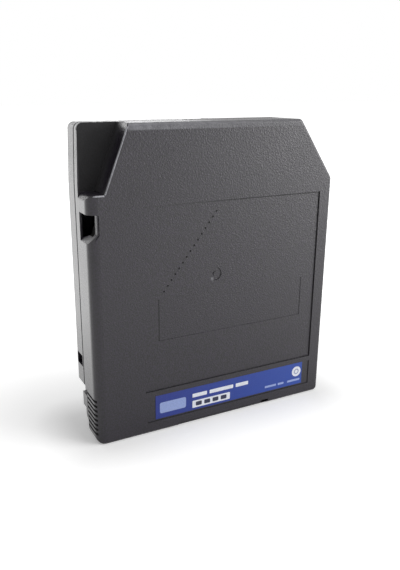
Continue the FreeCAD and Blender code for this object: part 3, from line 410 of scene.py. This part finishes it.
def dress(tree, shader, paint, roughness, height, depth_mm):
    """Gives a shader its colour, its roughness and a bump of a depth in mm."""
    bump = add_node(tree, "ShaderNodeBump", {"Height": height, "Distance": depth_mm * MM})
    tree.links.new(paint, shader.inputs["Base Color"])
    tree.links.new(roughness, shader.inputs["Roughness"])
    tree.links.new(bump.outputs["Normal"], shader.inputs["Normal"])


# ------------------------------------------------------------------- materials

BLACK = (0.001, 0.001, 0.001, 1)
CASE_COLOUR = (0.0070, 0.0050, 0.0098, 1)
# The pale colour of the painted highlights.
HIGHLIGHT_COLOUR = (0.36, 0.36, 0.39, 1)


def grained_plastic(tree, place, colour, rough, cell_mm, fleck):
    """Colour, roughness and height of plastic from a grained mould, with smudges and scuffs."""
    grain = use_group(tree, MOULD_GRAIN, Vector=place, Cell_mm=cell_mm)
    marks = use_group(tree, HANDLING, Vector=place)
    paint = blend_colours(tree, grain["Tone"], shade(colour, 0.85), shade(colour, 1.15))
    paint = blend_colours(tree, grain["Fleck"], blend_colours(tree, fleck, paint, BLACK),
                          blend_colours(tree, fleck, paint, shade(colour, 2.5)))
    scuffed = calculate(tree, "MULTIPLY", marks["Scuff"], 0.35)
    paint = blend_colours(tree, scuffed, paint, shade(colour, 2.2))
    roughness = changed(tree, rough, marks["Smudge"], -0.07)
    roughness = changed(tree, roughness, grain["Glint"], -0.16)
    return paint, roughness, grain["Height"]


def moulded_plastic(name, colour, rough, cell_mm, depth_mm):
    """Plain moulded plastic, for a part inside the case."""
    material, tree, shader, place = new_material(name)
    paint, roughness, height = grained_plastic(tree, place, colour, rough, cell_mm, fleck=0.05)
    shader.inputs["IOR"].default_value = 1.5
    dress(tree, shader, paint, roughness, height, depth_mm)
    return material


def case_plastic():
    """Nearly black plastic: painted highlight on its edges, notch, head and gate, painted shade in
    its seam and hollows, and sides that shine more.
    """
    material, tree, shader, place = new_material("case_plastic")
    paint, roughness, height = grained_plastic(tree, place, CASE_COLOUR, rough=0.42,
                                               cell_mm=0.64, fleck=0.8)

    # Painted highlight: the case's edges are painted lighter, and made smoother.
    edge = use_group(tree, PAINTED_EDGE_HIGHLIGHT, Vector=centred(tree, place, CASE_MIDDLE),
                     Half_X=WIDTH / 2, Half_Y=DEPTH / 2, Half_Z=HEIGHT / 2, Reach_mm=1.3)["Rub"]
    edge_lightening = calculate(tree, "MULTIPLY", edge, 0.35)
    paint = blend_colours(tree, edge_lightening, paint, shade(CASE_COLOUR, 3.0))
    roughness = changed(tree, roughness, edge, -0.12)

    # Painted shade: the seam and the hollows are painted black, made rougher and kept out of the
    # coat.
    seam_shade = use_group(tree, PAINTED_SEAM_SHADE, Vector=place, Level=SEAM_LEVEL, Half_mm=0.45)["Dust"]
    wall = span(tree, facing(tree, "Y"), 0.88, 0.95, 1.0, 0.0)
    hollow_shade = use_group(tree, PAINTED_HOLLOW_SHADE, Vector=place, Front_Y=CASE_LOW.y, Wall=wall)["Dirt"]
    painted_shade = calculate(tree, "MAXIMUM", seam_shade, hollow_shade)
    paint = blend_colours(tree, painted_shade, paint, BLACK)
    roughness = changed(tree, roughness, painted_shade, 0.5)
    # Painted highlight: pale colour along the notch and head edges and at the gate's rim.
    highlight = use_group(tree, PAINTED_HIGHLIGHTS, Vector=place, Front_Y=CASE_LOW.y)["Wear"]
    paint = blend_colours(tree, highlight, paint, HIGHLIGHT_COLOUR)

    side = facing(tree, "X")
    polished = span(tree, side, 0.80, 0.97)
    roughness = changed(tree, roughness, polished, -0.14)
    height = calculate(tree, "MULTIPLY", height, span(tree, side, 0.80, 0.97, 1.0, 0.25))
    unshaded = calculate(tree, "SUBTRACT", 1.0, painted_shade)
    coat = together(tree, "MULTIPLY", span(tree, side, 0.93, 0.99), unshaded, 0.62)
    tree.links.new(coat, shader.inputs["Coat Weight"])
    shader.inputs["Coat Roughness"].default_value = 0.25
    shader.inputs["IOR"].default_value = 1.52
    dress(tree, shader, paint, roughness, height, depth_mm=0.115)
    return material


def wound_tape():
    """The edges of many wraps of tape: dark, silky, with faint bands."""
    material, tree, shader, place = new_material("wound_tape")
    turned = use_group(tree, TURNED_LINES, Vector=centred(tree, place, REEL_MIDDLE), Pitch_mm=0.12)
    paint = blend_colours(tree, turned["Band"], (0.020, 0.016, 0.014, 1), (0.045, 0.037, 0.032, 1))
    roughness = span(tree, turned["Ring"], 0.3, 0.7, 0.24, 0.42)
    dress(tree, shader, paint, roughness, turned["Ring"], depth_mm=0.012)
    return material


def coated_film():
    """The leader's film: smooth with faint streaks along it."""
    material, tree, shader, place = new_material("coated_film")
    streak = noise(tree, place, 120.0, detail=3.0, stretch=(0.2, 6.0, 0.2))
    paint = blend_colours(tree, streak, (0.018, 0.015, 0.014, 1), (0.036, 0.030, 0.028, 1))
    roughness = span(tree, streak, 0.3, 0.7, 0.16, 0.30)
    dress(tree, shader, paint, roughness, streak, depth_mm=0.01)
    return material


def turned_steel():
    """Bright steel with lathe rings and light tarnish."""
    material, tree, shader, place = new_material("turned_steel")
    turned = use_group(tree, TURNED_LINES, Vector=centred(tree, place, REEL_MIDDLE), Pitch_mm=0.16)
    tarnish = span(tree, noise(tree, place, 180.0, detail=4.0, rough=0.6), 0.35, 0.75)
    paint = blend_colours(tree, tarnish, (0.46, 0.46, 0.45, 1), (0.32, 0.31, 0.30, 1))
    roughness = span(tree, turned["Ring"], 0.25, 0.75, 0.30, 0.50)
    shader.inputs["Metallic"].default_value = 1.0
    dress(tree, shader, paint, roughness, turned["Ring"], depth_mm=0.008)
    return material


def drawn_wire(name, colour, rough):
    """Steel wire or a screw: fine drawing marks and a little tarnish."""
    material, tree, shader, place = new_material(name)
    marks = noise(tree, place, 900.0, detail=3.0, rough=0.6, stretch=(1.0, 0.3, 1.0))
    tarnish = span(tree, noise(tree, place, 240.0, detail=3.0, rough=0.5), 0.4, 0.8)
    paint = blend_colours(tree, tarnish, colour, shade(colour, 0.6))
    roughness = span(tree, marks, 0.3, 0.7, rough - 0.08, rough + 0.10)
    shader.inputs["Metallic"].default_value = 1.0
    dress(tree, shader, paint, roughness, marks, depth_mm=0.01)
    return material


def label_film():
    """Glossy printed film: a flat blue that lightens towards one end, with fine print grain."""
    material, tree, shader, place = new_material("label_film")
    share = span(tree, split(tree, place)["X"], LABEL_LOW.x, LABEL_HIGH.x)
    paint = blend_colours(tree, share, (0.006, 0.017, 0.190, 1), (0.010, 0.050, 0.315, 1))
    grain = span(tree, noise(tree, place, 4200.0, detail=2.0), 0.45, 0.7)
    paint = blend_colours(tree, calculate(tree, "MULTIPLY", grain, 0.25), paint,
                          (0.045, 0.110, 0.420, 1))
    fibre = noise(tree, place, 700.0, detail=3.0, rough=0.6)
    roughness = span(tree, fibre, 0.3, 0.7, 0.34, 0.46)
    dress(tree, shader, paint, roughness, fibre, depth_mm=0.006)
    return material


def print_ink(name, colour):
    """Screen-printed ink: a little uneven in cover and gloss."""
    material, tree, shader, place = new_material(name)
    cover = noise(tree, place, 2600.0, detail=3.0, rough=0.6)
    paint = blend_colours(tree, span(tree, cover, 0.35, 0.75), colour, shade(colour, 0.82))
    roughness = span(tree, cover, 0.3, 0.7, 0.42, 0.58)
    dress(tree, shader, paint, roughness, cover, depth_mm=0.004)
    return material


def circuit_board():
    """Green solder mask over a faint woven base."""
    material, tree, shader, place = new_material("circuit_board")
    weave = noise(tree, place, 1500.0, detail=2.0, stretch=(1.0, 3.0, 1.0))
    paint = blend_colours(tree, span(tree, weave, 0.35, 0.65), (0.012, 0.085, 0.030, 1),
                          (0.022, 0.130, 0.048, 1))
    roughness = span(tree, weave, 0.3, 0.7, 0.24, 0.38)
    dress(tree, shader, paint, roughness, weave, depth_mm=0.01)
    return material


CASE = case_plastic()

# The plastics inside: colour, roughness, and the size and depth of the grain in mm.
REEL = moulded_plastic("reel_plastic", (0.62, 0.62, 0.60, 1), 0.42, 0.5, 0.010)
BRAKE = moulded_plastic("brake_plastic", (0.66, 0.65, 0.60, 1), 0.40, 0.5, 0.008)
SPIDER = moulded_plastic("spider_plastic", (0.50, 0.53, 0.58, 1), 0.40, 0.5, 0.008)
DOOR = moulded_plastic("door_plastic", (0.030, 0.030, 0.032, 1), 0.38, 0.45, 0.016)
SLIDE = moulded_plastic("slide_plastic", (0.30, 0.31, 0.33, 1), 0.42, 0.4, 0.012)
CHIP = moulded_plastic("chip_epoxy", (0.018, 0.018, 0.020, 1), 0.5, 0.25, 0.010)

# Wire and screws take a colour and a roughness, and inks take a colour.
STEEL = turned_steel()
WIRE = drawn_wire("spring_wire", (0.56, 0.55, 0.53, 1), 0.30)
SCREW = drawn_wire("screw_steel", (0.30, 0.30, 0.31, 1), 0.36)
TAPE = wound_tape()
FILM = coated_film()
LABEL = label_film()
BOARD = circuit_board()
INK_WHITE = print_ink("ink_white", (0.80, 0.82, 0.88, 1))
INK_PALE = print_ink("ink_pale", (0.30, 0.38, 0.68, 1))
INK_DARK = print_ink("ink_dark", (0.010, 0.014, 0.050, 1))
INK_GREY = print_ink("ink_grey", (0.30, 0.34, 0.50, 1))

FINISHES = {
    "front_shell": CASE, "rear_shell": CASE, "label": LABEL,
    "reel_hub": REEL, "reel_flange": REEL, "drive_plate": STEEL, "tape_pack": TAPE,
    "brake_button": BRAKE, "thrust_ball": STEEL, "release_spider": SPIDER,
    "brake_spring": WIRE, "door_spring": WIRE, "leader_pin": WIRE, "tape_clip": DOOR,
    "tape_leader": FILM, "pin_keeper_front": WIRE, "pin_keeper_rear": WIRE,
    "door": DOOR, "write_protect_slide": SLIDE, "memory_board": BOARD,
    "memory_chip": CHIP, "case_screws": SCREW,
}

for node_name, finish in FINISHES.items():
    for material_slot in NODES[node_name].material_slots:
        material_slot.material = finish


# --------------------------------------------------------------------- springs


def finished(name, mesh, material, body):
    """A finished piece: its object, its material and the body that it rides on."""
    piece = bpy.data.objects.new(name, mesh)
    bpy.context.scene.collection.objects.link(piece)
    mesh.materials.append(material)
    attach(piece, body)
    return piece


def soft_spring(node):
    """A copy of a spring, merged and smoothly shaded, that rides on the case in place of its part.
    """
    mesh = NODES[node].data.copy()
    form = bmesh.new()
    form.from_mesh(mesh)
    bmesh.ops.remove_doubles(form, verts=form.verts, dist=TOUCHING)
    for face in form.faces:
        face.smooth = True
    form.to_mesh(mesh)
    form.free()
    mesh.materials.clear()
    spring = finished(node + "_coil", mesh, WIRE, "case")
    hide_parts(node)
    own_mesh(spring)


soft_spring("brake_spring")
soft_spring("door_spring")


# ----------------------------------------------------------------- label print

# Fields of ink in mm: where each one ends at its left and right, and each row's
# lower and upper edge.
LINE_ENDS, LINE_ROW = [(-12.2, -5.2), (-3.9, 7.9), (9.2, 15.6)], (11.6, 13.3)
NOTE_ENDS, NOTE_ROW = [(24.7, 30.8), (31.8, 35.0), (37.0, 44.0)], (7.4, 8.4)
MARK_FIRST, MARK_PITCH, MARK_WIDE = -10.6, 4.1, 2.9
MARK_STARTS = [MARK_FIRST + MARK_PITCH * count for count in range(4)]
MARK_ENDS, MARK_ROW = [(start, start + MARK_WIDE) for start in MARK_STARTS], (7.4, 9.3)
DISC_X, DISC_Z = 41.9, 12.1
DISC_STEPS = 48


def printed_field(name, ends, row, material, layer=1, round_mm=0.25):
    """A field of ink on the label, between its two ends and in its row."""
    (left, right), (low, high) = ends, row
    centre = Vector(((left + right) / 2 * MM, LABEL_LOW.y - (layer - 0.5) * INK_THICK,
                     (low + high) / 2 * MM))
    size = Vector(((right - left) * MM, INK_THICK, (high - low) * MM))
    form = bmesh.new()
    bmesh.ops.create_cube(form, size=1.0)
    bmesh.ops.scale(form, vec=size, verts=form.verts)
    corners = [edge for edge in form.edges
               if abs(edge.verts[0].co.y - edge.verts[1].co.y) > INK_THICK / 2]
    bmesh.ops.bevel(form, geom=corners, offset=round_mm * MM, segments=4, profile=0.5,
                    affect="EDGES", material=-1)
    bmesh.ops.translate(form, vec=centre, verts=form.verts)
    mesh = bpy.data.meshes.new(name)
    form.to_mesh(mesh)
    form.free()
    finished(name, mesh, material, "case")


def printed_row(name, all_ends, row, material, layer=1, round_mm=0.25):
    """Fields of ink side by side."""
    for count, ends in enumerate(all_ends, start=1):
        printed_field("%s_%d" % (name, count), ends, row, material, layer, round_mm)


def printed_disc(name, radius_mm, material, layer=1, hole_mm=0.0):
    """A round field of ink, or a ring of it, spun from its section."""
    back = LABEL_LOW.y - (layer - 1) * INK_THICK
    front = back - INK_THICK
    rim, hole = radius_mm * MM, hole_mm * MM
    section = ((hole, back), (rim, back), (rim, front), (hole, front))
    form = bmesh.new()
    form.faces.new([form.verts.new((out, level, 0)) for out, level in section])
    bmesh.ops.spin(form, geom=form.faces[:] + form.edges[:] + form.verts[:], cent=(0, 0, 0),
                   axis=(0, 1, 0), angle=2 * math.pi, steps=DISC_STEPS, use_merge=True)
    bmesh.ops.remove_doubles(form, verts=form.verts, dist=TOUCHING)
    bmesh.ops.recalc_face_normals(form, faces=form.faces)
    bmesh.ops.translate(form, vec=(DISC_X * MM, 0, DISC_Z * MM), verts=form.verts)
    mesh = bpy.data.meshes.new(name)
    form.to_mesh(mesh)
    form.free()
    finished(name, mesh, material, "case")


printed_field("label_block", (-27.4, -15.3), (7.9, 12.8), INK_PALE, round_mm=0.8)
printed_row("label_line", LINE_ENDS, LINE_ROW, INK_WHITE)
printed_field("label_panel", (-12.2, 6.3), (6.7, 10.0), INK_WHITE, round_mm=0.3)
printed_row("label_mark", MARK_ENDS, MARK_ROW, INK_DARK, layer=2, round_mm=0.4)
printed_row("label_note", NOTE_ENDS, NOTE_ROW, INK_PALE)
printed_disc("label_disc", 2.45, INK_WHITE)
printed_disc("label_ring", 1.35, INK_GREY, layer=2, hole_mm=0.85)


# ----------------------------------------------------------------------- stage

# How far from the case's foot the floor's glow changes, and its strength there; the weaker glow
# near the foot is a painted shadow.
GLOW_NEAR, GLOW_MIDDLE, GLOW_FAR = (0.003, 0.26), (0.020, 0.50), (0.15, 1.0)
WORLD_STRENGTH = 0.25

# Each lamp's place, its width and its height, and how bright its face is.
LAMPS = {
    "key_light": ((0.97, -0.70, 0.29), 0.64, 0.56, 9.3),
    "back_right_light": ((0.16, 1.22, 0.26), 0.9, 0.48, 3.4),
    "back_left_light": ((-0.48, 0.95, 0.48), 0.75, 0.50, 1.1),
    "top_light": ((0.50, -0.36, 0.90), 0.7, 0.7, 2.4),
}


def seen_directly(tree):
    """One where a camera, a reflection or a clear body looks, and nought for other light."""
    path = add_node(tree, "ShaderNodeLightPath").outputs
    return together(tree, "MAXIMUM", path["Is Camera Ray"], path["Is Glossy Ray"],
                    path["Is Transmission Ray"])


def white_when_seen(tree, shader, place):
    """Lifts a floor towards white where it is seen, and more so away from the case's foot, which
    leaves a painted shadow around the foot.
    """
    place = vector_step(tree, "ABSOLUTE", place)[0]
    place = vector_step(tree, "SUBTRACT", place, (WIDTH / 2, DEPTH / 2, 0.0))[0]
    place = vector_step(tree, "MAXIMUM", place, (0.0, 0.0, 0.0))[0]
    away = vector_step(tree, "LENGTH", place)["Value"]
    (near, dim), (middle, half), (far, full) = GLOW_NEAR, GLOW_MIDDLE, GLOW_FAR
    lift = calculate(tree, "ADD", span(tree, away, near, middle, dim, half),
                     span(tree, away, middle, far, 0.0, full - half))
    strength = calculate(tree, "MULTIPLY", seen_directly(tree), lift)
    glow = add_node(tree, "ShaderNodeEmission", {"Color": (1, 1, 1, 1), "Strength": strength})
    both = {0: shader.outputs[0], 1: glow.outputs[0]}
    return add_node(tree, "ShaderNodeAddShader", both).outputs[0]


def lay_floor():
    """A wide pale floor that keeps the object's shadow, with a painted shadow around the case's
    foot.
    """
    form = bmesh.new()
    bmesh.ops.create_grid(form, x_segments=1, y_segments=1, size=6.0)
    mesh = bpy.data.meshes.new("floor")
    form.to_mesh(mesh)
    form.free()
    floor = bpy.data.objects.new("floor", mesh)
    bpy.context.scene.collection.objects.link(floor)
    material, tree, shader, place = new_material("floor_paint")
    shader.inputs["Base Color"].default_value = (0.86, 0.86, 0.86, 1)
    shader.inputs["Roughness"].default_value = 0.9
    shader.inputs["Specular IOR Level"].default_value = 0.0
    surface = tree.nodes["Material Output"].inputs["Surface"]
    tree.links.new(white_when_seen(tree, shader, place), surface)
    mesh.materials.append(material)


def light_world():
    """Even light for the object, and plain white where the world is seen."""
    world = bpy.data.worlds.new("studio")
    bpy.context.scene.world = world
    world.use_nodes = True
    tree = world.node_tree
    level = span(tree, seen_directly(tree), 0.0, 1.0, WORLD_STRENGTH, 1.0)
    back = tree.nodes["Background"]
    back.inputs["Color"].default_value = (1, 1, 1, 1)
    tree.links.new(level, back.inputs["Strength"])


def hang_lamp(name, place, wide, tall, radiance):
    """A soft lamp that shines on the case and whose face has the given brightness."""
    data = bpy.data.lights.new(name, "AREA")
    data.shape = "RECTANGLE"
    data.size = wide
    data.size_y = tall
    data.energy = radiance * math.pi * wide * tall
    lamp = bpy.data.objects.new(name, data)
    bpy.context.scene.collection.objects.link(lamp)
    lamp.location = place
    lamp.rotation_euler = (CASE_MIDDLE - Vector(place)).to_track_quat("-Z", "Y").to_euler()
    lamp.visible_camera = False


lay_floor()
light_world()
for lamp_name, lamp_settings in LAMPS.items():
    hang_lamp(lamp_name, *lamp_settings)


# ---------------------------------------------------------------------- camera

LENS_MM, SENSOR_MM = 38.364, 36.0
SHIFT_X, SHIFT_Y = 0.0313, -0.0085
CAMERA_PLACE = (-0.1203, -0.2164, 0.1353)
CAMERA_TURN, CAMERA_TILT = math.radians(26.80), math.radians(17.21)


def set_camera():
    """A camera turned to the right of the Y axis and tilted down."""
    data = bpy.data.cameras.new("view")
    data.lens = LENS_MM
    data.sensor_width = SENSOR_MM
    data.sensor_fit = "AUTO"
    data.shift_x = SHIFT_X
    data.shift_y = SHIFT_Y
    data.clip_start = 0.01
    data.clip_end = 20.0
    camera = bpy.data.objects.new("view", data)
    bpy.context.scene.collection.objects.link(camera)
    ahead = Vector((math.sin(CAMERA_TURN) * math.cos(CAMERA_TILT),
                    math.cos(CAMERA_TURN) * math.cos(CAMERA_TILT),
                    -math.sin(CAMERA_TILT)))
    camera.location = CAMERA_PLACE
    camera.rotation_euler = ahead.to_track_quat("-Z", "Y").to_euler()
    bpy.context.scene.camera = camera


set_camera()
bpy.context.scene.view_settings.view_transform = "Standard"
